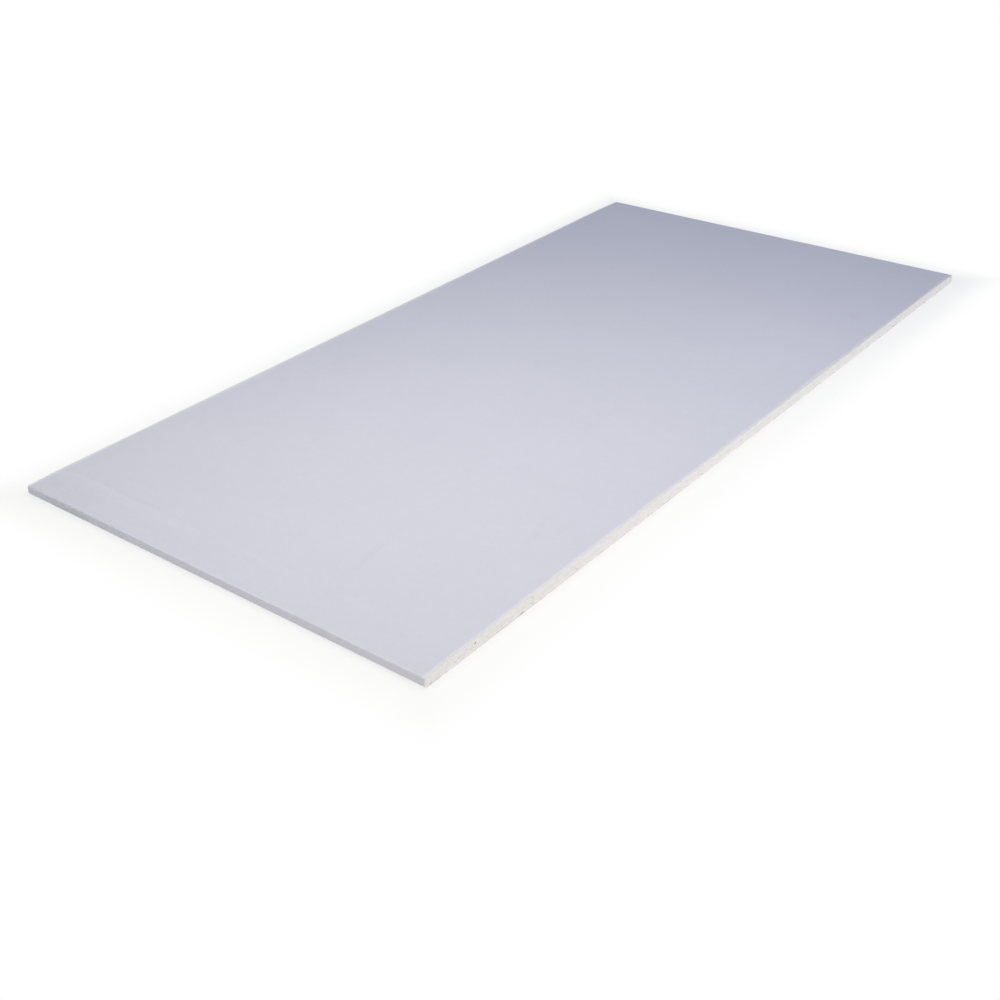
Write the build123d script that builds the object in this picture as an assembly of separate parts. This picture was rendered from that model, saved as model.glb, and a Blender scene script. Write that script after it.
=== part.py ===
from build123d import *
from math import pi, radians, tan
import os

# Drywall sheet with two tapered, paper-bound edges, lying on its back.
# The bound edges close the two ends of X. The two sides along X are cut and show the bare core.
# The origin is under the middle of the sheet, on the plane of its back.

# Sheet
width = 1200.0  # over the widest line of both bound edges, along X
length = 600.0  # between the cut edges, along Y
thickness = 12.5  # over both papers, where the face is flat

# Bound edges
taper_width = 50.0  # from the widest line in to where the face is flat
taper_depth = 1.3  # how far the face falls over that width
taper_ease_radius = 400.0  # soft turn from the flat face into the taper
edge_lean = 6.0  # degrees by which a bound edge leans in from the back to the face
face_arris_radius = 1.2  # outside of the paper, from the taper down on to the bound edge
back_arris_radius = 3.0  # outside of the paper, from the bound edge in under the back

# Papers
face_paper_thickness = 0.4
back_paper_thickness = 0.4
lip_width = 22.0  # face paper folded in under the back, measured from the widest line
back_paper_setback = 5.0  # bare strip of lip between the back paper and the widest line


def wrapped_section():
    """Section of all that the face paper wraps, out to the paper's own outer surface."""
    lean = radians(edge_lean)
    flat_end = width / 2 - taper_width
    shoulder_height = thickness - taper_depth
    # The leaning side would meet the back just outside the widest line, which is on the round arris.
    foot = width / 2 + back_arris_radius * (tan(pi / 4 + lean / 2) - 1)
    shoulder = foot - (shoulder_height - back_paper_thickness) * tan(lean)
    corners = [
        (-foot, back_paper_thickness),
        (foot, back_paper_thickness),
        (shoulder, shoulder_height),
        (flat_end, thickness),
        (-flat_end, thickness),
        (-shoulder, shoulder_height),
    ]
    radii = [
        back_arris_radius,
        back_arris_radius,
        face_arris_radius,
        taper_ease_radius,
        taper_ease_radius,
        face_arris_radius,
    ]
    return make_face(FilletPolyline(*corners, radius=radii, close=True))


def back_strip(strip_width, underside, strip_thickness):
    """Section of a flat strip along the back, centred on the sheet."""
    strip = Rectangle(strip_width, strip_thickness, align=(Align.CENTER, Align.MIN))
    return Pos(0, underside) * strip


def cut_sheet(section):
    """A section run out to the two cut edges."""
    return extrude(Plane.XZ * section, amount=length / 2, both=True)


wrapped = wrapped_section()
inside_face_paper = offset(wrapped, amount=-face_paper_thickness)
between_lips = back_strip(width - 2 * lip_width, back_paper_thickness, face_paper_thickness)

# The plaster fills the wrap, and reaches the back paper between the two lips.
gypsum_core = cut_sheet(inside_face_paper + between_lips)

# The face paper keeps its thickness over the face, round both arrises and along each lip.
face_paper = cut_sheet(wrapped - inside_face_paper - between_lips)

# The back paper laps over the lips and leaves a strip of each one bare.
back_paper = cut_sheet(back_strip(width - 2 * back_paper_setback, 0, back_paper_thickness))

os.makedirs("parts", exist_ok=True)
export_step(gypsum_core, "parts/gypsum_core.step")
export_step(face_paper, "parts/face_paper.step")
export_step(back_paper, "parts/back_paper.step")
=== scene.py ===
"""Drywall sheet lying on its back in a white studio.

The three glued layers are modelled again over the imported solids, at the same sizes and with the marks
of making and handling: the folded face paper, the cut plaster core and the plain back paper.
Lengths are in metres, with X between the bound edges, Y between the cut edges and Z up.
"""

import logging
import math
from collections.abc import Callable, Mapping
from dataclasses import dataclass, replace
from enum import Enum

import bmesh
import bpy
import numpy as np
from mathutils import Color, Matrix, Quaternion, Vector


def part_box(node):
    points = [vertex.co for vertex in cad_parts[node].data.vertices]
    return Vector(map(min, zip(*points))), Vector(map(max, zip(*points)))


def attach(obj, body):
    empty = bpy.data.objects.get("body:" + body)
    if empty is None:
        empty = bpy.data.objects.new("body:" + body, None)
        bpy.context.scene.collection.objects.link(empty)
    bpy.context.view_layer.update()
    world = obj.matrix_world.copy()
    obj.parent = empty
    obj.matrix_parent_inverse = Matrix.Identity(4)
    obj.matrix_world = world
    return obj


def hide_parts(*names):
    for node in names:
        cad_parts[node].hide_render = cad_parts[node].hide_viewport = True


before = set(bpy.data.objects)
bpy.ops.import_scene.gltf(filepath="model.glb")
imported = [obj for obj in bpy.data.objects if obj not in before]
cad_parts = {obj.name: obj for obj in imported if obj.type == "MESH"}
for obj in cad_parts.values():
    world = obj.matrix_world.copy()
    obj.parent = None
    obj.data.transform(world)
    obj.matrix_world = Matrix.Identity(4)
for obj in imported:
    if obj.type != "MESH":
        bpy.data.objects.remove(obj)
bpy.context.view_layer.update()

LOG = logging.getLogger("drywall_sheet")
BODY = "root"
NEAR = 1e-6
SMOOTH_ANGLE = math.radians(35.0)
FULL_LEVEL = 255
MATT_SPECULAR = 0.2

Colour = tuple[float, float, float, float]
Point = tuple[float, float, float]
WHITE: Colour = (1.0, 1.0, 1.0, 1.0)


def paint(red: float, green: float, blue: float) -> Colour:
    """Turns a colour as a paint card gives it into the linear colour that a shader takes.

    Args:
        red: Red, from 0 to 255.
        green: Green, from 0 to 255.
        blue: Blue, from 0 to 255.

    Returns:
        The linear colour with full alpha.
    """
    shares = (red / FULL_LEVEL, green / FULL_LEVEL, blue / FULL_LEVEL)
    linear = Color(shares).from_srgb_to_scene_linear()
    return (linear.r, linear.g, linear.b, 1.0)


class Side(Enum):
    """The two ends of X, each closed by a bound edge."""

    LEFT = -1
    RIGHT = 1


class Element(Enum):
    """What a selection in edit mode is made of."""

    EDGE = "EDGE"
    FACE = "FACE"


class Push(Enum):
    """The way in which a displacement moves a vertex."""

    NORMAL = "NORMAL"
    ALONG_X = "X"
    ALONG_Y = "Y"
    ALONG_Z = "Z"


@dataclass(frozen=True)
class Grain:
    """Cloudy unevenness that a displacement follows.

    Attributes:
        amount: The move from its darkest to its lightest spot, centred on no move.
        size: Width of one cloud.
        depth: How many finer layers of cloud lie over it.
    """

    amount: float
    size: float
    depth: int = 2


class MeshHand:
    """One new mesh object, shaped with edit-mode operators as by hand."""

    def __init__(self, name: str, centre: Point, size: tuple[float, float], cells: tuple[int, int],
                 turn: Point = (0.0, 0.0, 0.0)) -> None:
        """Adds a grid at its size and place and opens it for editing.

        Args:
            name: Name of the piece.
            centre: Middle of the grid.
            size: Length of the grid along its own two sides.
            cells: Faces along the same two sides.
            turn: Rotation of the grid about X, Y and Z, in radians.
        """
        bpy.ops.object.select_all(action="DESELECT")
        bpy.ops.mesh.primitive_grid_add(
            x_subdivisions=cells[0], y_subdivisions=cells[1], size=1.0, location=centre, rotation=turn
        )
        self.piece: bpy.types.Object = bpy.context.active_object
        self.piece.name = name
        self.piece.data.name = name
        self.piece.scale = (*size, 1.0)
        bpy.ops.object.transform_apply(location=True, rotation=True, scale=True)
        bpy.ops.object.mode_set(mode="EDIT")

    def pick(self, element: Element, test: Callable[[Vector], bool]) -> None:
        """Selects the elements whose every vertex passes a test, and nothing else.

        Args:
            element: Kind of element to select.
            test: Says whether a vertex at a place counts.
        """
        bpy.ops.mesh.select_mode(type=element.value)
        bpy.ops.mesh.select_all(action="DESELECT")
        shape = bmesh.from_edit_mesh(self.piece.data)
        inside = {vertex for vertex in shape.verts if test(vertex.co)}
        for item in shape.edges if element is Element.EDGE else shape.faces:
            if inside.issuperset(item.verts):
                item.select_set(True)
        bmesh.update_edit_mesh(self.piece.data)

    def extrude(self, step: Point, times: int = 1) -> None:
        """Extrudes the selection by a step, as many times as asked."""
        for _ in range(times):
            bpy.ops.mesh.extrude_region_move(TRANSFORM_OT_translate={"value": step})

    def fold(self, centre: Point, angle: float, steps: int) -> None:
        """Carries the selected edges round an arc about a line along Y, from +Z towards +X."""
        bpy.ops.mesh.spin(steps=steps, angle=angle, center=centre, axis=(0.0, -1.0, 0.0))

    def slice(self, point: Point, normal: Point, trim: bool) -> None:
        """Cuts the mesh along a plane, and where asked clears away what lies on its normal's side."""
        bpy.ops.mesh.select_all(action="SELECT")
        bpy.ops.mesh.bisect(plane_co=point, plane_no=normal, clear_outer=trim, threshold=NEAR)

    def face_outwards(self) -> None:
        """Merges doubled vertices and turns every face to point out of the shape."""
        bpy.ops.mesh.select_all(action="SELECT")
        bpy.ops.mesh.remove_doubles(threshold=NEAR)
        bpy.ops.mesh.normals_make_consistent(inside=False)

    def close(self) -> None:
        """Leaves edit mode."""
        bpy.ops.object.mode_set(mode="OBJECT")

    def places(self) -> np.ndarray:
        """Reads where the vertices are.

        Returns:
            The places, one row for each vertex.
        """
        spots = np.empty(len(self.piece.data.vertices) * 3, dtype=np.float32)
        self.piece.data.vertices.foreach_get("co", spots)
        return spots.reshape(-1, 3).astype(float)

    def weigh(self, group: str, weights: np.ndarray) -> None:
        """Writes a vertex group.

        Args:
            group: Name of the group.
            weights: One weight from 0 to 1 for each vertex; vertices at 0 stay out of it.
        """
        made = self.piece.vertex_groups.new(name=group)
        for index in np.flatnonzero(weights > 0.0):
            made.add([int(index)], float(weights[index]), "REPLACE")

    def displace(self, group: str, move: Grain | float, push: Push) -> None:
        """Moves a vertex group and drops the group.

        Args:
            group: Name of the vertex group whose weights scale the move.
            move: Unevenness that the move follows, or the length of an even move.
            push: The way in which a vertex moves.
        """
        bpy.ops.object.modifier_add(type="DISPLACE")
        modifier = self.piece.modifiers[-1]
        modifier.vertex_group = group
        modifier.direction = push.value
        cloud = None
        if isinstance(move, Grain):
            cloud = bpy.data.textures.new(group, type="CLOUDS")
            cloud.noise_scale = move.size
            cloud.noise_depth = move.depth
            modifier.texture = cloud
            modifier.texture_coords = "LOCAL"
            modifier.mid_level = 0.5
            modifier.strength = move.amount
        else:
            modifier.mid_level = 0.0
            modifier.strength = move
        bpy.ops.object.modifier_apply(modifier=modifier.name)
        if cloud is not None:
            bpy.data.textures.remove(cloud)
        self.piece.vertex_groups.remove(self.piece.vertex_groups[group])

    def thicken(self, thickness: float) -> None:
        """Gives an open sheet its thickness, on the side that its faces look away from.

        Args:
            thickness: The thickness.
        """
        bpy.ops.object.modifier_add(type="SOLIDIFY")
        modifier = self.piece.modifiers[-1]
        modifier.thickness = thickness
        modifier.offset = -1.0
        modifier.use_even_offset = True
        bpy.ops.object.modifier_apply(modifier=modifier.name)

    def finish(self, node: str, slot: str, material: bpy.types.Material) -> bpy.types.Object:
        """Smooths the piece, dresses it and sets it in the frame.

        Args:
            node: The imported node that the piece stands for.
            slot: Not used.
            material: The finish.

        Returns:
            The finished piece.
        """
        bpy.ops.object.shade_smooth_by_angle(angle=SMOOTH_ANGLE)
        self.piece.data.materials.clear()
        self.piece.data.materials.append(material)
        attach(self.piece, BODY)
        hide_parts(node)
        return self.piece


@dataclass(frozen=True)
class Section:
    """Section of the sheet across its bound edges.

    Attributes:
        half_width: From the middle to the widest line of a bound edge.
        half_length: From the middle to a cut edge.
        face_height: The flat of the face.
        lip_underside: Underside of the face paper's lips, on top of the back paper.
        paper: Thickness of the face paper.
        taper_width: From the widest line in to where the face is flat.
        taper_depth: How far the face falls over that width.
        ease_radius: Soft turn from the flat face into the taper.
        edge_lean: How far a bound edge leans in from the back to the face, in radians.
        face_arris: Outer radius from the taper on to the bound edge.
        back_arris: Outer radius from the bound edge in under the back.
        lip_width: Face paper folded in under the back.
    """

    half_width: float
    half_length: float
    face_height: float
    lip_underside: float
    paper: float
    taper_width: float = 0.050
    taper_depth: float = 0.0013
    ease_radius: float = 0.400
    edge_lean: float = math.radians(6.0)
    face_arris: float = 0.0012
    back_arris: float = 0.0030
    lip_width: float = 0.022

    @classmethod
    def from_frame(cls) -> "Section":
        """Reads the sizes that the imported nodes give.

        Returns:
            The section.
        """
        wrap_low, wrap_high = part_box("face_paper")
        core_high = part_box("gypsum_core")[1]
        return cls(wrap_high.x, wrap_high.y, wrap_high.z, wrap_low.z, wrap_high.z - core_high.z)

    @property
    def shoulder(self) -> tuple[float, float]:
        """Where the taper would meet the bound edge with no arris.

        Returns:
            X and Z of the place.
        """
        foot = self.half_width + self.back_arris * (math.tan(math.pi / 4 + self.edge_lean / 2) - 1)
        height = self.face_height - self.taper_depth
        return foot - (height - self.lip_underside) * math.tan(self.edge_lean), height

    @property
    def taper_start(self) -> float:
        """X at which the taper's slope would leave the flat face with no ease."""
        return self.half_width - self.taper_width

    @property
    def taper_angle(self) -> float:
        """Slope of the taper, in radians."""
        return math.atan2(self.taper_depth, self.shoulder[0] - self.taper_start)

    @property
    def ease_run(self) -> float:
        """From the taper's start to either end of the eased turn."""
        return self.ease_radius * math.tan(self.taper_angle / 2)

    @property
    def face_arris_centre(self) -> tuple[float, float]:
        """Middle of the arris between taper and bound edge.

        Returns:
            X and Z of the middle.
        """
        lean, slope = self.edge_lean, self.taper_angle
        reach = self.face_arris / (1 + math.sin(lean + slope))
        inward, downward = math.cos(lean) + math.sin(slope), math.sin(lean) + math.cos(slope)
        x, z = self.shoulder
        return x - reach * inward, z - reach * downward

    @property
    def back_arris_centre(self) -> tuple[float, float]:
        """X and Z of the middle of the arris between bound edge and back."""
        return self.half_width - self.back_arris, self.lip_underside + self.back_arris


@dataclass
class PaperLayer:
    """A layer of paper, cut through along two sides of the sheet.

    Attributes:
        section: The sheet's section.
        cell_along_x: Length of a face of the mesh along the cut edges.
        cell_along_y: Length of a face of the mesh along the bound edges.
        ragged: How far the knife wandered along the cut edges.
        edge_wave: How far the folded or trimmed edges wander from a straight line.
    """

    section: Section
    cell_along_x: float = 0.002
    cell_along_y: float = 0.015
    ragged: Grain = Grain(0.0005, 0.005, 4)
    edge_wave: Grain = Grain(0.0004, 0.05)

    def lay(self, name: str, size: tuple[float, float], height: float) -> MeshHand:
        """Lays a flat sheet of paper out, open for editing."""
        cells = (round(size[0] / self.cell_along_x), round(size[1] / self.cell_along_y))
        return MeshHand(name, (0.0, 0.0, height), size, cells)

    def fray(self, hand: MeshHand) -> None:
        """Leaves the cut edges of a closed mesh ragged."""
        hand.weigh("cut", (np.abs(hand.places()[:, 1]) > self.section.half_length - NEAR).astype(float))
        hand.displace("cut", self.ragged, Push.ALONG_Y)


@dataclass
class FacePaper(PaperLayer):
    """Face paper: flat over the face, folded down both bound edges and in under the back.

    Attributes:
        arc_steps: Faces round an arris.
        ease_steps: Faces round the soft turn into the taper.
        edge_steps: Faces down the flat of the bound edge.
        cockle: How far the face is out of flat.
    """

    arc_steps: int = 6
    ease_steps: int = 4
    edge_steps: int = 3
    cockle: Grain = Grain(0.0003, 0.16)

    def build(self, finish: "PaperFinish") -> bpy.types.Object:
        """Models the paper.

        Args:
            finish: The finish that dresses it.

        Returns:
            The finished piece.
        """
        sheet = self.section
        flat_end = sheet.taper_start - sheet.ease_run
        size = (2 * flat_end, 2 * sheet.half_length)
        hand = self.lay("face_paper_wrap", size, sheet.face_height)
        for side in Side:
            self._fold_edge(hand, side, flat_end)
        hand.face_outwards()
        hand.close()
        self._work(hand)
        hand.thicken(sheet.paper)
        return hand.finish("face_paper", "face_paper", finish.make(sheet))

    def _fold_edge(self, hand: MeshHand, side: Side, flat_end: float) -> None:
        """Runs the paper down one taper, round the bound edge and in under the back.

        Args:
            hand: The mesh, open for editing.
            side: Which bound edge.
            flat_end: X at which the flat of the face ends.
        """
        sheet, way = self.section, side.value
        angle, lean = sheet.taper_angle, sheet.edge_lean
        along, down = math.cos(angle), -math.sin(angle)
        hand.pick(Element.EDGE, lambda spot: abs(spot.x - way * flat_end) < NEAR)
        ease_z = sheet.face_height - sheet.ease_radius
        hand.fold((way * flat_end, 0.0, ease_z), way * angle, self.ease_steps)

        arris_x, arris_z = sheet.face_arris_centre
        slope_end = arris_x + sheet.face_arris * math.sin(angle)
        slope = (slope_end - sheet.taper_start) / along - sheet.ease_run
        strips = round(slope / self.cell_along_x)
        hand.extrude((way * slope * along / strips, 0.0, slope * down / strips), strips)
        hand.fold((way * arris_x, 0.0, arris_z), way * (math.pi / 2 - angle - lean), self.arc_steps)

        under_x, under_z = sheet.back_arris_centre
        growth = sheet.back_arris - sheet.face_arris
        out = (under_x - arris_x + growth * math.cos(lean)) / self.edge_steps
        fall = (under_z - arris_z + growth * math.sin(lean)) / self.edge_steps
        hand.extrude((way * out, 0.0, fall), self.edge_steps)
        hand.fold((way * under_x, 0.0, under_z), way * (math.pi / 2 + lean), self.arc_steps)
        hand.extrude((way * (sheet.back_arris - sheet.lip_width), 0.0, 0.0))

    def _work(self, hand: MeshHand) -> None:
        """Gives the paper its ragged cut, its slight cockle and its wandering folds.

        Args:
            hand: The mesh, closed.
        """
        sheet, spots = self.section, hand.places()
        x, y, z = np.abs(spots[:, 0]), np.abs(spots[:, 1]), spots[:, 2]
        inset = np.minimum(sheet.taper_start - x, sheet.half_length - y)
        on_face = z > sheet.face_height - sheet.paper
        hand.weigh("cockle", np.clip(inset / sheet.taper_width, 0.0, 1.0) * on_face)
        hand.displace("cockle", self.cockle, Push.ALONG_Z)
        on_taper = np.clip((x - sheet.taper_start) / sheet.taper_width, 0.0, 1.0) * on_face
        hand.weigh("fold", on_taper + (z < sheet.face_height - sheet.taper_depth))
        hand.displace("fold", self.edge_wave, Push.ALONG_X)
        self.fray(hand)


@dataclass
class GypsumCore:
    """Plaster core, cut along both long sides and full of fine bubbles.

    Attributes:
        section: The sheet's section.
        cell: Length of a face of the mesh on the cut sides.
        arc_steps: Cuts that round an arris.
        wander: How far the cut wanders over a few centimetres.
        tooth: Roughness of the cut plaster.
        bubbles: Open bubbles along one cut side.
        crumbs: Places along one cut side where the arris has crumbled.
        pits: Large bubbles on the front cut, each with its X, Z and radius.
        bubble_radii: Smallest and largest radius of a bubble or a crumbled place.
        bubble_bias: Power that makes small radii the most common.
        crumb_stretch: Least and most length of a crumbled place, in its heights.
        bubble_depth_share: Depth of a bubble as a share of its radius.
        pit_depth_share: The same for a large one.
        crumb_depth_share: The same for a crumbled place.
        seed: Start of the random draws.
    """

    section: Section
    cell: float = 0.00075
    arc_steps: int = 4
    wander: Grain = Grain(0.0004, 0.040)
    tooth: Grain = Grain(0.0003, 0.0028, 3)
    bubbles: int = 180
    crumbs: int = 18
    pits: tuple[Point, ...] = (
        (-0.526, 0.0077, 0.0015),
        (-0.540, 0.0080, 0.0010),
        (-0.438, 0.0031, 0.0013),
    )
    bubble_radii: tuple[float, float] = (0.0007, 0.0014)
    bubble_bias: int = 4
    crumb_stretch: tuple[float, float] = (2.0, 5.0)
    bubble_depth_share: float = 0.6
    pit_depth_share: float = 0.85
    crumb_depth_share: float = 0.35
    seed: int = 12

    def build(self, finish: "PlasterFinish") -> bpy.types.Object:
        """Models the core.

        Args:
            finish: The finish that dresses it.

        Returns:
            The finished piece.
        """
        sheet = self.section
        core_low, core_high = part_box("gypsum_core")
        size = (core_high.x - core_low.x, core_high.z - core_low.z)
        cells = (round(size[0] / self.cell), round(size[1] / self.cell))
        middle = (0.0, core_low.y, (core_low.z + core_high.z) / 2)
        hand = MeshHand("gypsum_core_cut", middle, size, cells, (math.pi / 2, 0.0, 0.0))
        for side in Side:
            self._trim_edge(hand, side)
        hand.pick(Element.FACE, lambda spot: True)
        hand.extrude((0.0, 2 * sheet.half_length, 0.0))
        hand.face_outwards()
        hand.close()
        self._break(hand)
        return hand.finish("gypsum_core", "gypsum", finish.make(sheet))

    def _trim_edge(self, hand: MeshHand, side: Side) -> None:
        """Trims one end of the cut side to the taper, the arrises and the lip's recess.

        Args:
            hand: The mesh, open for editing.
            side: Which bound edge.
        """
        sheet, way = self.section, side.value
        side_turn = math.pi / 2 - sheet.edge_lean
        face_turns = np.linspace(sheet.taper_angle, side_turn, self.arc_steps)
        back_turns = np.linspace(side_turn, math.pi, self.arc_steps)
        arcs = (
            (sheet.face_arris_centre, sheet.face_arris, face_turns),
            (sheet.back_arris_centre, sheet.back_arris, back_turns),
        )
        for (x, z), radius, turns in arcs:
            reach = radius - sheet.paper
            for turn in turns:
                lean, rise = way * math.sin(turn), math.cos(turn)
                touch = (way * x + lean * reach, 0.0, z + rise * reach)
                hand.slice(touch, (lean, 0.0, rise), trim=turn < math.pi)
        lip_end = sheet.half_width - sheet.lip_width
        lip_top = sheet.lip_underside + sheet.paper
        hand.slice((way * lip_end, 0.0, 0.0), (way, 0.0, 0.0), trim=False)
        hand.slice((0.0, 0.0, lip_top), (0.0, 0.0, 1.0), trim=False)
        hand.pick(Element.FACE, lambda spot: way * spot.x > lip_end - NEAR and spot.z < lip_top + NEAR)
        bpy.ops.mesh.delete(type="FACE")

    def _break(self, hand: MeshHand) -> None:
        """Roughens both cut sides, opens their bubbles and crumbles their arrises.

        Args:
            hand: The mesh, closed.
        """
        sheet, spots = self.section, hand.places()
        on_cut = np.abs(np.abs(spots[:, 1]) - sheet.half_length) < NEAR
        hand.weigh("wander", on_cut.astype(float))
        hand.displace("wander", self.wander, Push.NORMAL)
        hand.weigh("tooth", on_cut.astype(float))
        hand.displace("tooth", self.tooth, Push.NORMAL)
        hollows = self._hollows(spots, on_cut)
        deepest = float(hollows.max())
        hand.weigh("bubbles", hollows / deepest)
        hand.displace("bubbles", -deepest, Push.NORMAL)

    def _hollows(self, spots: np.ndarray, on_cut: np.ndarray) -> np.ndarray:
        """Draws the open bubbles and the crumbled arrises of both cut sides.

        Args:
            spots: The vertices' places.
            on_cut: Which vertices lie on a cut side.

        Returns:
            How deep each vertex lies under the cut.
        """
        sheet, draws = self.section, np.random.default_rng(self.seed)
        depth = np.zeros(len(spots))
        low, high = sheet.lip_underside, sheet.face_height - sheet.paper
        small, large = self.bubble_radii
        for way in (-1.0, 1.0):
            here = np.flatnonzero(on_cut & (np.sign(spots[:, 1]) == way))
            hollows = [(*pit, 1.0, self.pit_depth_share) for pit in self.pits] if way < 0.0 else []
            for index in range(self.bubbles + self.crumbs):
                crumbled = index >= self.bubbles
                at_x = draws.uniform(-sheet.half_width, sheet.half_width)
                at_z = draws.choice((low, high)) if crumbled else draws.uniform(low, high)
                radius = small + (large - small) * draws.random() ** self.bubble_bias
                stretch = draws.uniform(*self.crumb_stretch) if crumbled else 1.0
                share = self.crumb_depth_share if crumbled else self.bubble_depth_share
                hollows.append((at_x, at_z, radius, stretch, share))
            for at_x, at_z, radius, stretch, share in hollows:
                along = (spots[here, 0] - at_x) / (radius * stretch)
                across = (spots[here, 2] - at_z) / radius
                hollow = np.sqrt(np.clip(1.0 - along ** 2 - across ** 2, 0.0, 1.0)) * radius * share
                depth[here] = np.maximum(depth[here], hollow)
        return depth


@dataclass
class BackPaper(PaperLayer):
    """Back paper: a flat sheet that laps over both lips and stops short of the bound edges."""

    cell_along_y: float = 0.010
    edge_wave: Grain = Grain(0.0012, 0.060, 3)

    def build(self, finish: "PaperFinish") -> bpy.types.Object:
        """Models the paper.

        Args:
            finish: The finish that dresses it.

        Returns:
            The finished piece.
        """
        low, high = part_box("back_paper")
        hand = self.lay("back_paper_lining", (high.x - low.x, high.y - low.y), high.z)
        hand.close()
        hand.weigh("side", (np.abs(hand.places()[:, 0]) > high.x - NEAR).astype(float))
        hand.displace("side", self.edge_wave, Push.ALONG_X)
        self.fray(hand)
        hand.thicken(high.z - low.z)
        return hand.finish("back_paper", "back_paper", finish.make(self.section))


class Field:
    """A shader value that Python's operators extend with Math nodes."""

    def __init__(self, bench: "Bench", socket: bpy.types.NodeSocket) -> None:
        """Wraps a socket of a bench."""
        self.bench = bench
        self.socket = socket

    def _with(self, operation: str, first: "Field | float", second: "Field | float" = 0.0) -> "Field":
        """Adds one Math node and wraps its result."""
        made = self.bench.node("ShaderNodeMath", {"operation": operation}, {0: first, 1: second})
        return Field(self.bench, made.outputs[0])

    def __add__(self, other: "Field | float") -> "Field":
        """Sum."""
        return self._with("ADD", self, other)

    def __sub__(self, other: "Field | float") -> "Field":
        """Difference."""
        return self._with("SUBTRACT", self, other)

    def __rsub__(self, other: float) -> "Field":
        """Difference from a number."""
        return self._with("SUBTRACT", other, self)

    def __mul__(self, other: "Field | float") -> "Field":
        """Product."""
        return self._with("MULTIPLY", self, other)

    __radd__ = __add__
    __rmul__ = __mul__

    def __abs__(self) -> "Field":
        """Size without its sign."""
        return self._with("ABSOLUTE", self)

    def most(self, other: "Field | float") -> "Field":
        """The larger of two values."""
        return self._with("MAXIMUM", self, other)

    def rise(self, start: float, end: float) -> "Field":
        """Climbs smoothly from 0 at start to 1 at end.

        Args:
            start: Value at which the climb starts.
            end: Value at which it ends.

        Returns:
            The climb.
        """
        settings = {"interpolation_type": "SMOOTHSTEP"}
        inputs = {0: self, 1: start, 2: end, 3: 0.0, 4: 1.0}
        made = self.bench.node("ShaderNodeMapRange", settings, inputs)
        return Field(self.bench, made.outputs[0])


@dataclass(frozen=True)
class Spot:
    """A place on a piece, as a shader reads it.

    Attributes:
        bench: Bench that holds its nodes.
        place: The place whole, in metres.
        x: The place along X.
        y: The place along Y.
        z: The place along Z.
    """

    bench: "Bench"
    place: bpy.types.NodeSocket
    x: Field
    y: Field
    z: Field


@dataclass(frozen=True)
class Weave:
    """A pattern of cloudy noise.

    Attributes:
        grain: Size of a cloud along X, Y and Z.
        detail: How many finer layers lie over it.
        shift: Moves the pattern, so that two like ones differ.
        fade: Noise at which a patch of it starts to show, and at which it shows in full.
    """

    grain: Point
    detail: float
    shift: float = 0.0
    fade: tuple[float, float] = (-0.25, 0.2)


@dataclass(frozen=True)
class Mosaic:
    """Small spots, one in some of the cells of a random mosaic.

    Attributes:
        cell: Size of a cell along X, Y and Z.
        reach: Size of a spot as a share of its cell.
        share: Share of the cells that hold one.
        softness: Part of that share over which spots fade.
    """

    cell: Point
    reach: float
    share: float
    softness: float = 0.02


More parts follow.
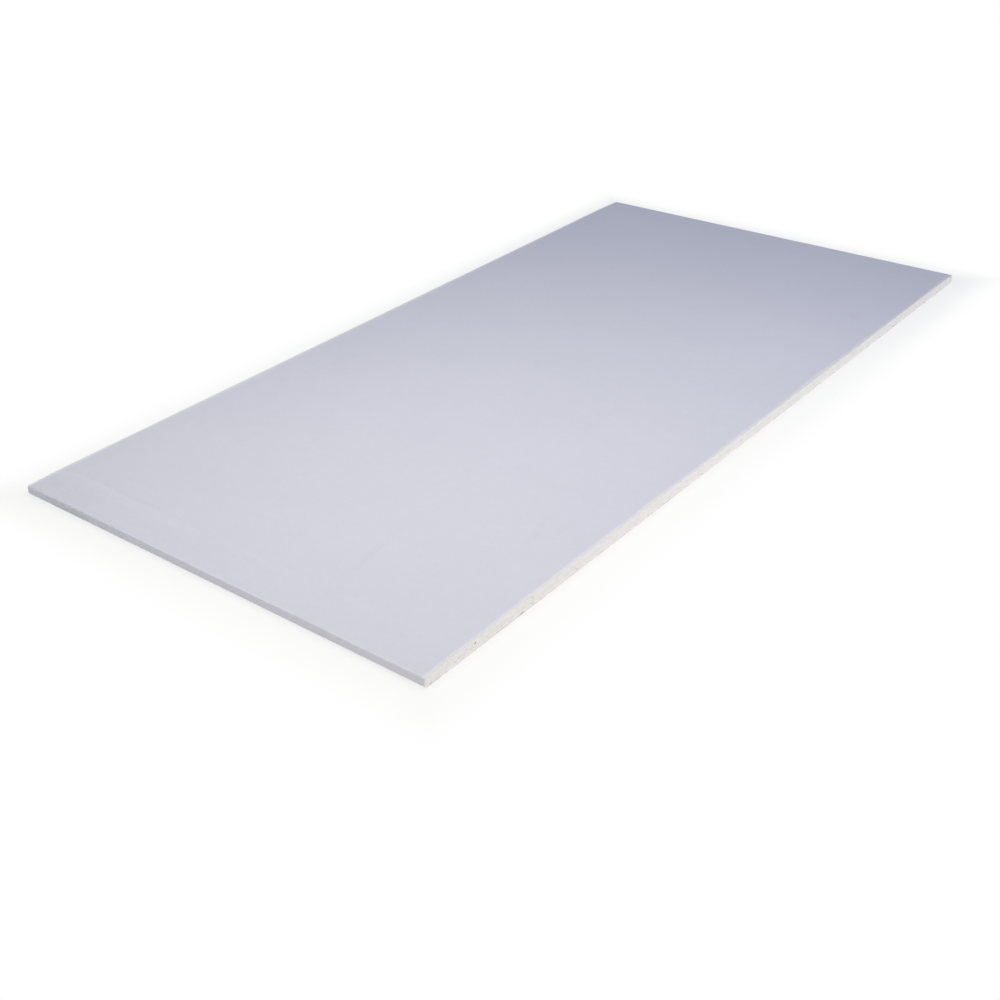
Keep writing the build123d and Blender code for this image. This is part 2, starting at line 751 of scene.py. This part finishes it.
class Bench:
    """Workbench on which the nodes of one material or of the world are laid out."""

    def __init__(self, owner: bpy.types.Material | bpy.types.World) -> None:
        """Clears the owner's nodes.

        Args:
            owner: The material or the world.
        """
        owner.use_nodes = True
        self.tree: bpy.types.NodeTree = owner.node_tree
        self.tree.nodes.clear()

    def node(self, kind: str, settings: Mapping[str, object] | None = None,
             inputs: Mapping[str | int, object] | None = None) -> bpy.types.Node:
        """Adds one node.

        Args:
            kind: The node's type.
            settings: Values of its properties, set before its sockets.
            inputs: Values or links of its sockets, by name or number.

        Returns:
            The node.
        """
        made = self.tree.nodes.new(kind)
        for key, value in (settings or {}).items():
            setattr(made, key, value)
        for key, value in (inputs or {}).items():
            source = value.socket if isinstance(value, Field) else value
            if isinstance(source, bpy.types.NodeSocket):
                self.tree.links.new(source, made.inputs[key])
            else:
                made.inputs[key].default_value = source
        return made

    def spot(self) -> Spot:
        """Reads the place on the piece.

        Returns:
            The place, whole and along each axis.
        """
        place = self.node("ShaderNodeTexCoord").outputs["Object"]
        parts = self.node("ShaderNodeSeparateXYZ", inputs={0: place}).outputs
        return Spot(self, place, *(Field(self, part) for part in parts))

    def scaled(self, spot: Spot, size: Point, shift: float = 0.0) -> bpy.types.NodeSocket:
        """Gives a place counted in steps of a size along X, Y and Z, and then shifted."""
        inputs = {0: spot.place, 1: (shift, shift, shift), 3: (1 / size[0], 1 / size[1], 1 / size[2])}
        return self.node("ShaderNodeMapping", inputs=inputs).outputs[0]

    def noise(self, spot: Spot, weave: Weave) -> Field:
        """Lays cloudy noise over a place.

        Args:
            spot: The place.
            weave: The pattern.

        Returns:
            Noise about 0, from about -0.5 to 0.5.
        """
        where = self.scaled(spot, weave.grain, weave.shift)
        inputs = {0: where, "Scale": 1.0, "Detail": weave.detail}
        return Field(self, self.node("ShaderNodeTexNoise", inputs=inputs).outputs[0]) - 0.5

    def patches(self, spot: Spot, weave: Weave) -> Field:
        """Lays noise as patches, 1 in them and 0 between them."""
        return self.noise(spot, weave).rise(*weave.fade)

    def flecks(self, spot: Spot, mosaic: Mosaic) -> Field:
        """Scatters the spots of a mosaic.

        Args:
            spot: The place.
            mosaic: The mosaic.

        Returns:
            1 in a spot's middle and 0 outside the spots.
        """
        inputs = {0: self.scaled(spot, mosaic.cell), "Scale": 1.0}
        made = self.node("ShaderNodeTexVoronoi", inputs=inputs)
        chance = self.node("ShaderNodeSeparateColor", inputs={0: made.outputs["Color"]}).outputs[0]
        dot = 1.0 - Field(self, made.outputs["Distance"]).rise(mosaic.reach / 2, mosaic.reach)
        bare = 1.0 - mosaic.share
        return dot * Field(self, chance).rise(bare, bare + mosaic.softness)

    def seen(self) -> Field:
        """Tells what is seen from the light that falls on things.

        Returns:
            1 for what the camera sees, straight, mirrored or through glass, and 0 for other light.
        """
        path = self.node("ShaderNodeLightPath").outputs
        mirrored, through = Field(self, path["Is Glossy Ray"]), Field(self, path["Is Transmission Ray"])
        return Field(self, path["Is Camera Ray"]).most(mirrored).most(through)

    def blend(self, share: Field | float, first: object, second: object,
              mode: str = "MIX") -> bpy.types.NodeSocket:
        """Mixes a share of a second colour, or of a field of grey, into a first."""
        settings = {"data_type": "RGBA", "blend_type": mode}
        return self.node("ShaderNodeMix", settings, {0: share, 6: first, 7: second}).outputs[2]

    def surface(self, colour: object, roughness: object, height: Field, relief: float) -> None:
        """Ends a material with a matt surface.

        Args:
            colour: Base colour.
            roughness: Roughness.
            height: Fine relief, about 0.
            relief: Height in metres that one unit of it stands for.
        """
        inputs = {"Strength": 1.0, "Distance": relief, "Height": height}
        bump = self.node("ShaderNodeBump", inputs=inputs)
        inputs = {"Base Color": colour, "Roughness": roughness, "Normal": bump.outputs[0]}
        inputs["Specular IOR Level"] = MATT_SPECULAR
        shader = self.node("ShaderNodeBsdfPrincipled", inputs=inputs)
        self.node("ShaderNodeOutputMaterial", inputs={"Surface": shader.outputs[0]})


@dataclass(frozen=True)
class Mark:
    """A faint mark of handling on the face.

    Attributes:
        x: Middle of the mark along X.
        y: Middle of the mark along Y.
        length: Half of its length.
        width: Half of its width.
        heading: Angle of its length from X, in degrees.
        tone: How much darker it is, as a share; below 0 it is lighter.
    """

    x: float
    y: float
    length: float
    width: float
    heading: float
    tone: float


@dataclass(frozen=True)
class PaperFinish:
    """Lining paper: fibres along Y, cloudy formation, flecks, arrises lightened partly as worn paper and
    partly as painted highlight and painted light from below, dust and handling marks.

    Attributes:
        name: Name of the finish.
        colour: The paper's colour.
        fleck: Colour of stray fibres.
        raw: Colour of the paper's cut edge.
        fibre: Contrast of the fibres.
        cloud: Contrast of the formation.
        drift: Contrast of the broad drifts of tone.
        speckle: How much darker the fine speckles are.
        flecks: How stray fibres are scattered.
        fleck_tint: How strongly a stray fibre shows.
        roughness: Roughness.
        wear_and_highlight: How much lighter the arrises and taper creases are, partly worn paper and
            partly painted highlight and painted light from below.
        dust: How thickly plaster dust clings to the face along the cut edges.
        marks: Handling marks.
        roughness_swing: How much the formation changes the roughness.
        relief: Height of the fibres' relief.
        formation_relief_share: The formation's relief as a share of the fibres'.
        raw_depth: How far in from a cut edge the paper looks raw.
        mark_core_share: Share of a mark's reach over which it shows in full.
        dust_width: Width of the strip over which the dust thins out.
        dust_drift: How far the dust has drifted in.
        back_wear_and_light_share: Lightening of the back arris, worn paper and painted light from below,
            as a share of the face arris's.
        back_wear_and_light_fade_shares: Heights between which it fades, as shares of the back arris.
        crease_wear_and_highlight_share: Lightening of the crease where the taper starts, worn paper and
            painted highlight, as a share of the face arris's.
        crease_width: Half of that crease's width.
        arris_top_share: Share of the face arris, down from the shoulder, that the lightening and the dust
            cover in full.
    """

    name: str
    colour: Colour
    fleck: Colour
    raw: Colour
    fibre: float
    cloud: float
    drift: float
    speckle: float
    flecks: Mosaic
    fleck_tint: float
    roughness: float
    wear_and_highlight: float = 0.0
    dust: float = 0.0
    marks: tuple[Mark, ...] = ()
    roughness_swing: float = 0.15
    relief: float = 0.00008
    formation_relief_share: float = 0.6
    raw_depth: float = 0.0003
    mark_core_share: float = 0.2
    dust_width: float = 0.004
    dust_drift: float = 0.003
    back_wear_and_light_share: float = 1.6
    back_wear_and_light_fade_shares: tuple[float, float] = (0.5, 1.1)
    crease_wear_and_highlight_share: float = 0.25
    crease_width: float = 0.006
    arris_top_share: float = 0.25

    def make(self, sheet: Section) -> bpy.types.Material:
        """Lays out the material.

        Args:
            sheet: Section of the sheet that the paper lines.

        Returns:
            The material.
        """
        material = bpy.data.materials.new(self.name)
        bench = Bench(material)
        spot = bench.spot()
        fibres = bench.noise(spot, FIBRES)
        formation = bench.noise(spot, FORMATION)
        tone = 1.0 + fibres * self.fibre + formation * self.cloud + bench.noise(spot, DRIFTS) * self.drift
        tone = tone - bench.patches(spot, SPECKLES) * self.speckle
        for mark in self.marks:
            tone = tone - self._mark(spot, mark, sheet.face_height)
        # Arrises and taper creases lightened: worn paper plus painted highlight and painted light from
        # below.
        if self.wear_and_highlight:
            tone = tone + self._worn_and_lit(spot, sheet) * self.wear_and_highlight
        colour = bench.blend(1.0, self.colour, tone, "MULTIPLY")
        colour = bench.blend(bench.flecks(spot, self.flecks) * self.fleck_tint, colour, self.fleck)
        if self.dust:
            colour = bench.blend(self._dusty(spot, sheet) * self.dust, colour, CHALK)
        inset = sheet.half_length - self.raw_depth
        colour = bench.blend(abs(spot.y).rise(inset - self.raw_depth, inset), colour, self.raw)
        roughness = self.roughness + formation * self.roughness_swing
        bench.surface(colour, roughness, fibres + formation * self.formation_relief_share, self.relief)
        return material

    def _mark(self, spot: Spot, mark: Mark, height: float) -> Field:
        """Lays one handling mark, broken up as a rub is.

        Args:
            spot: The place on the piece.
            mark: The mark.
            height: Height of the face that it lies on.

        Returns:
            How much darker the paper is there.
        """
        bench = spot.bench
        turn = (0.0, 0.0, math.radians(mark.heading))
        inputs = {0: spot.place, 1: (mark.x, mark.y, height), 2: turn, 3: (mark.length, mark.width, 1.0)}
        local = bench.node("ShaderNodeMapping", {"vector_type": "TEXTURE"}, inputs).outputs[0]
        reach = bench.node("ShaderNodeVectorMath", {"operation": "LENGTH"}, {0: local}).outputs["Value"]
        broken = bench.patches(spot, replace(RUBS, shift=mark.x))
        return (1.0 - Field(bench, reach).rise(self.mark_core_share, 1.0)) * broken * mark.tone

    def _dusty(self, spot: Spot, sheet: Section) -> Field:
        """Finds where the saw has left plaster dust on the face along the cut edges.

        Args:
            spot: The place on the piece.
            sheet: Section of the sheet.

        Returns:
            1 where the dust lies thickest and 0 where there is none.
        """
        beside = sheet.half_length - abs(spot.y) - spot.bench.patches(spot, DUST_DRIFTS) * self.dust_drift
        grains = spot.bench.patches(spot, DUST_GRAINS)
        return (1.0 - beside.rise(0.0, self.dust_width)) * grains * self._above_edge(spot, sheet)

    def _above_edge(self, spot: Spot, sheet: Section) -> Field:
        """Climbs from 0 on the flat of a bound edge to 1 on the face arris and the face."""
        high = sheet.shoulder[1]
        return spot.z.rise(high - sheet.face_arris, high - sheet.face_arris * self.arris_top_share)

    def _worn_and_lit(self, spot: Spot, sheet: Section) -> Field:
        """Finds where the arrises and taper creases are lightened: worn paper, with painted highlight on
        the face arris and crease and painted light from below on the back arris.

        Args:
            spot: The place on the piece.
            sheet: Section of the sheet.

        Returns:
            1 where the face arris is lightened most and 0 where nothing is lightened.
        """
        across, corner = abs(spot.x), sheet.shoulder[0]
        # The back arris is lightened as painted light from below and the face arris as a painted
        # highlight, each over some worn paper.
        fade = [sheet.lip_underside + sheet.back_arris * share for share in self.back_wear_and_light_fade_shares]
        under = (1.0 - spot.z.rise(*fade)) * self.back_wear_and_light_share
        edge = across.rise(corner - sheet.back_arris, corner - sheet.face_arris)
        # Painted highlight along the crease where the taper starts, over some worn paper.
        crease = 1.0 - abs(across - sheet.taper_start).rise(0.0, self.crease_width)
        rubbed_and_lit = (under + self._above_edge(spot, sheet)) * edge + crease * self.crease_wear_and_highlight_share
        return rubbed_and_lit * spot.bench.patches(spot, WORN_AND_LIT_STRETCHES)


@dataclass(frozen=True)
class PlasterFinish:
    """Cut plaster: cream white, chalky and pitted, with painted shade in its bubbles and pores.

    Attributes:
        name: Name of the finish.
        colour: The plaster's colour.
        hollow: Painted shade colour inside bubbles and fine pores.
        cloud: Contrast of its cloudiness.
        roughness: Roughness.
        chalk_share: Contrast of the chalky grain as a share of the cloudiness.
        back_band: How much lighter the plaster is along the back.
        back_band_share: Height of that lighter band as a share of the back arris.
        pores: How fine pores are scattered.
        pore_shade: How strongly painted shade darkens a pore.
        hollow_shade_depths: Depth under the cut at which painted shade in a bubble starts, and at which it
            is darkest.
        relief: Height of the chalky relief.
        score_relief_share: Relief of the saw's scores as a share of that.
        pore_relief_share: The same for the pores.
    """

    name: str
    colour: Colour
    hollow: Colour
    cloud: float
    roughness: float
    chalk_share: float = 0.7
    back_band: float = 0.07
    back_band_share: float = 1.3
    pores: Mosaic = Mosaic((0.0016, 0.0016, 0.0016), 0.34, 0.4)
    pore_shade: float = 0.3
    hollow_shade_depths: tuple[float, float] = (0.0003, 0.0011)
    relief: float = 0.00025
    score_relief_share: float = 0.5
    pore_relief_share: float = 1.5

    def make(self, sheet: Section) -> bpy.types.Material:
        """Lays out the material.

        Args:
            sheet: Section of the sheet that the plaster fills.

        Returns:
            The material.
        """
        material = bpy.data.materials.new(self.name)
        bench = Bench(material)
        spot = bench.spot()
        low = sheet.lip_underside
        chalk, pores = bench.noise(spot, CHALK_GRAIN), bench.flecks(spot, self.pores)
        tone = 1.0 + bench.noise(spot, PLASTER_CLOUDS) * self.cloud + chalk * self.cloud * self.chalk_share
        back_band = 1.0 - spot.z.rise(low + sheet.paper, low + sheet.back_arris * self.back_band_share)
        colour = bench.blend(1.0, self.colour, tone + back_band * self.back_band, "MULTIPLY")
        # Painted shade: deep bubbles and fine pores are blended towards the hollow colour.
        shaded_holes = (sheet.half_length - abs(spot.y)).rise(*self.hollow_shade_depths)
        colour = bench.blend(shaded_holes.most(pores * self.pore_shade), colour, self.hollow)
        scores = bench.noise(spot, SAW_SCORES) * self.score_relief_share
        bench.surface(colour, self.roughness, chalk + scores - pores * self.pore_relief_share, self.relief)
        return material


@dataclass(frozen=True)
class SoftBox:
    """A studio lamp with a square of cloth in front of it.

    Attributes:
        name: Name of the lamp.
        place: Where it hangs.
        aim: The point that it faces.
        size: Width and height of the cloth.
        power: Watts.
        colour: Colour of its light.
    """

    name: str
    place: Point
    aim: Point
    size: tuple[float, float]
    power: float
    colour: tuple[float, float, float]

    def hang(self) -> bpy.types.Object:
        """Hangs the lamp.

        Returns:
            The lamp.
        """
        lamp = bpy.data.lights.new(self.name, "AREA")
        lamp.shape = "RECTANGLE"
        lamp.size, lamp.size_y = self.size
        lamp.energy = self.power
        lamp.color = self.colour
        hung = bpy.data.objects.new(self.name, lamp)
        hung.visible_camera = False
        hung.visible_glossy = False
        hung.location = self.place
        hung.rotation_mode = "QUATERNION"
        hung.rotation_quaternion = (Vector(self.aim) - Vector(self.place)).to_track_quat("-Z", "Y")
        bpy.context.scene.collection.objects.link(hung)
        return hung


@dataclass(frozen=True)
class WhiteRoom:
    """White studio: a pale floor that keeps the shadow near the sheet, and light from all round.

    The floor is clear when seen from below, and lets light through under the sheet, so that the back
    shows there.

    Attributes:
        floor_size: Side of the floor.
        floor_height: Height of the floor.
        floor_colour: Colour of the floor.
        floor_roughness: Roughness of the floor.
        floor_specular: How strongly the floor mirrors.
        ambient: Colour of the light from all round.
        ambient_strength: Strength of that light.
        veil: Share of plain white that the camera sees over the floor beside the sheet.
        fade: Distance from the sheet at which the floor has gone plain white.
        cover: How far the floor reaches in under the sheet before it lets light through.
    """

    floor_size: float = 24.0
    floor_height: float = 0.0001
    floor_colour: Colour = paint(243, 243, 243)
    floor_roughness: float = 0.9
    floor_specular: float = 0.1
    ambient: Colour = (0.777, 0.835, 1.0, 1.0)
    ambient_strength: float = 0.515
    veil: float = 0.65
    fade: float = 0.07
    cover: float = 0.0005

    def build(self, sheet: Section) -> bpy.types.Object:
        """Lays the floor and lights the room.

        Args:
            sheet: Section of the sheet that lies on the floor.

        Returns:
            The floor.
        """
        bpy.ops.object.select_all(action="DESELECT")
        bpy.ops.mesh.primitive_plane_add(size=self.floor_size, location=(0.0, 0.0, self.floor_height))
        floor: bpy.types.Object = bpy.context.active_object
        floor.name = "studio_floor"
        floor.data.materials.append(self._floor_finish(sheet))
        self._light_room()
        return floor

    def _floor_finish(self, sheet: Section) -> bpy.types.Material:
        """Lays out the floor's material.

        Args:
            sheet: Section of the sheet that lies on the floor.

        Returns:
            The material.
        """
        material = bpy.data.materials.new("studio_floor")
        bench = Bench(material)
        spot, seen = bench.spot(), bench.seen()
        beside = (abs(spot.x) - sheet.half_width).most(abs(spot.y) - sheet.half_length)
        white = self.veil + beside.rise(0.0, self.fade) * (1.0 - self.veil)
        inputs = {"Base Color": self.floor_colour, "Roughness": self.floor_roughness}
        inputs["Specular IOR Level"] = self.floor_specular
        paintwork = bench.node("ShaderNodeBsdfPrincipled", inputs=inputs)
        glow = bench.node("ShaderNodeEmission", inputs={"Color": WHITE, "Strength": 1.0})
        inputs = {0: white * seen, 1: paintwork.outputs[0], 2: glow.outputs[0]}
        top = bench.node("ShaderNodeMixShader", inputs=inputs)
        clear = bench.node("ShaderNodeBsdfTransparent")
        below = Field(bench, bench.node("ShaderNodeNewGeometry").outputs["Backfacing"])
        covered = 1.0 - beside.rise(-2 * self.cover, -self.cover)
        inputs = {0: below.most(covered * (1.0 - seen)), 1: top.outputs[0], 2: clear.outputs[0]}
        mixed = bench.node("ShaderNodeMixShader", inputs=inputs)
        bench.node("ShaderNodeOutputMaterial", inputs={"Surface": mixed.outputs[0]})
        return material

    def _light_room(self) -> None:
        """Lights the room from all round and shows it white."""
        world = bpy.data.worlds.new("studio")
        bpy.context.scene.world = world
        bench = Bench(world)
        inputs = {"Color": self.ambient, "Strength": self.ambient_strength}
        light = bench.node("ShaderNodeBackground", inputs=inputs)
        white = bench.node("ShaderNodeBackground", inputs={"Color": WHITE, "Strength": 1.0})
        inputs = {0: bench.seen(), 1: light.outputs[0], 2: white.outputs[0]}
        mixed = bench.node("ShaderNodeMixShader", inputs=inputs)
        bench.node("ShaderNodeOutputWorld", inputs={"Surface": mixed.outputs[0]})


@dataclass(frozen=True)
class StudioCamera:
    """Camera that looks down on the near corner of the sheet.

    Attributes:
        place: Where it stands.
        heading: Direction of view on the floor, from +X towards +Y, in degrees.
        pitch: How far the view looks down, in degrees.
        roll: How far the camera leans to its right, in degrees.
        lens: Focal length, in millimetres.
        sensor: Width of the sensor, in millimetres.
    """

    place: Point = (-1.3318, -0.9883, 0.7918)
    heading: float = 39.037
    pitch: float = 30.652
    roll: float = 1.703
    lens: float = 49.946
    sensor: float = 36.0

    def stand(self) -> bpy.types.Object:
        """Stands the camera.

        Returns:
            The camera.
        """
        lens = bpy.data.cameras.new("studio_camera")
        lens.lens = self.lens
        lens.sensor_width = self.sensor
        camera = bpy.data.objects.new("studio_camera", lens)
        heading, pitch = math.radians(self.heading), math.radians(self.pitch)
        level = math.cos(pitch)
        view = Vector((math.cos(heading) * level, math.sin(heading) * level, -math.sin(pitch)))
        camera.location = self.place
        camera.rotation_mode = "QUATERNION"
        lean = Quaternion((0.0, 0.0, 1.0), -math.radians(self.roll))
        camera.rotation_quaternion = view.to_track_quat("-Z", "Y") @ lean
        bpy.context.scene.collection.objects.link(camera)
        bpy.context.scene.camera = camera
        return camera


FIBRES = Weave((0.0009, 0.0075, 0.0009), 3.0)
FORMATION = Weave((0.009, 0.014, 0.009), 3.0, 5.0)
DRIFTS = Weave((0.11, 0.17, 0.11), 2.0, 9.0)
SPECKLES = Weave((0.0026, 0.0034, 0.0026), 3.0, 21.0, fade=(0.02, 0.22))
RUBS = Weave((0.006, 0.006, 0.006), 3.0)
DUST_DRIFTS = Weave((0.16, 0.02, 0.02), 3.0, 13.0)
DUST_GRAINS = Weave((0.0016, 0.0016, 0.0016), 2.0, 17.0, fade=(-0.35, 0.25))
# Breaks up the lightening of arrises and creases, worn paper and painted light alike.
WORN_AND_LIT_STRETCHES = Weave((0.02, 0.06, 0.02), 3.0, 3.0, fade=(-0.2, 0.25))
PLASTER_CLOUDS = Weave((0.012, 0.012, 0.004), 4.0)
CHALK_GRAIN = Weave((0.0012, 0.0012, 0.0012), 4.0, 4.0)
SAW_SCORES = Weave((0.0006, 0.0006, 0.012), 2.0, 8.0)
FLECK_CELL = (0.0045, 0.009, 0.0045)
FLECK_REACH = 0.16

CHALK = paint(238, 234, 232)
HANDLING_MARKS = (
    Mark(-0.461, -0.116, 0.075, 0.008, 10.0, 0.035),
    Mark(-0.315, 0.112, 0.060, 0.025, 8.0, 0.020),
    Mark(-0.098, -0.135, 0.045, 0.030, -5.0, 0.018),
    Mark(-0.008, 0.015, 0.022, 0.008, 60.0, 0.030),
    Mark(0.038, 0.255, 0.080, 0.020, 6.0, 0.020),
    Mark(-0.150, 0.232, 0.050, 0.024, 20.0, 0.018),
    Mark(0.375, -0.251, 0.030, 0.010, 15.0, 0.030),
    Mark(-0.349, -0.236, 0.040, 0.008, 12.0, 0.026),
    Mark(-0.008, -0.251, 0.024, 0.007, 25.0, 0.026),
    Mark(-0.600, 0.220, 0.075, 0.003, 90.0, 0.12),
    Mark(-0.546, 0.180, 0.170, 0.004, 90.0, 0.030),
    Mark(-0.557, 0.160, 0.190, 0.010, 90.0, -0.022),
    Mark(-0.578, 0.260, 0.075, 0.014, 90.0, 0.028),
    Mark(0.549, -0.030, 0.200, 0.012, 90.0, 0.028),
)
# The face paper's arrises and taper creases are lightened: worn paper plus painted highlight and painted
# light from below.
FACE_FINISH = PaperFinish(
    "face_paper_lavender_grey", paint(207, 208, 221), paint(150, 150, 164), paint(226, 223, 224),
    fibre=0.06, cloud=0.05, drift=0.045, speckle=0.02, flecks=Mosaic(FLECK_CELL, FLECK_REACH, 0.03),
    fleck_tint=0.25, roughness=0.72, wear_and_highlight=0.10, dust=0.7, marks=HANDLING_MARKS,
)
BACK_FINISH = PaperFinish(
    "back_paper_olive_grey", paint(184, 183, 154), paint(112, 108, 82), paint(186, 181, 160),
    fibre=0.26, cloud=0.30, drift=0.14, speckle=0.18, flecks=Mosaic(FLECK_CELL, FLECK_REACH, 0.25),
    fleck_tint=0.3, roughness=0.82,
)
# The second colour is painted shade for the insides of bubbles and pores.
PLASTER_FINISH = PlasterFinish(
    "gypsum_cream_white", CHALK, paint(196, 190, 182), cloud=0.05, roughness=0.92,
)
LAMPS = (
    SoftBox("key_softbox", (-0.338, -0.146, 0.70), (-0.338, -0.146, 0.0), (1.0, 1.0), 4.62,
            (1.0, 0.957, 0.79)),
    SoftBox("corner_softbox", (-0.54, 0.27, 0.36), (-0.54, 0.27, 0.0), (0.25, 0.25), 0.075,
            (1.0, 0.74, 0.30)),
    SoftBox("rim_softbox", (0.26, -0.25, 0.25), (0.26, -0.25, 0.0), (0.20, 0.20), 0.040,
            (0.78, 0.80, 1.0)),
    SoftBox("front_strip", (0.50, -1.90, 0.24), (0.2, -0.3, 0.006), (1.8, 0.4), 10.0, (1.0, 0.98, 0.92)),
    SoftBox("left_strip", (-1.60, -0.45, 0.25), (-0.6, -0.1, 0.006), (0.5, 0.4), 2.2, (1.0, 0.80, 0.35)),
    SoftBox("rear_strip", (0.0, 1.90, 0.14), (0.0, 0.3, 0.006), (1.8, 0.2), 6.4, (1.0, 0.95, 0.82)),
    SoftBox("right_strip", (2.20, 0.0, 0.14), (0.6, 0.0, 0.006), (1.0, 0.2), 2.4, (1.0, 0.95, 0.82)),
    SoftBox("under_softbox", (0.0, 0.0, -1.30), (0.0, 0.0, 0.0), (1.6, 1.2), 13.0, (1.0, 0.91, 0.75)),
)


def main() -> None:
    """Builds the sheet and the studio in order."""
    logging.basicConfig(level=logging.INFO, format="%(name)s: %(message)s")
    scene = bpy.context.scene
    scene.view_settings.view_transform = "Standard"
    sheet = Section.from_frame()
    pieces = (
        FacePaper(sheet).build(FACE_FINISH),
        GypsumCore(sheet).build(PLASTER_FINISH),
        BackPaper(sheet).build(BACK_FINISH),
    )
    for piece in pieces:
        LOG.info("%s: %d faces", piece.name, len(piece.data.polygons))
    floor = WhiteRoom().build(sheet)
    LOG.info("%s laid", floor.name)
    for lamp in LAMPS:
        LOG.info("%s hung", lamp.hang().name)
    LOG.info("%s stands", StudioCamera().stand().name)


if __name__ == "__main__":
    main()
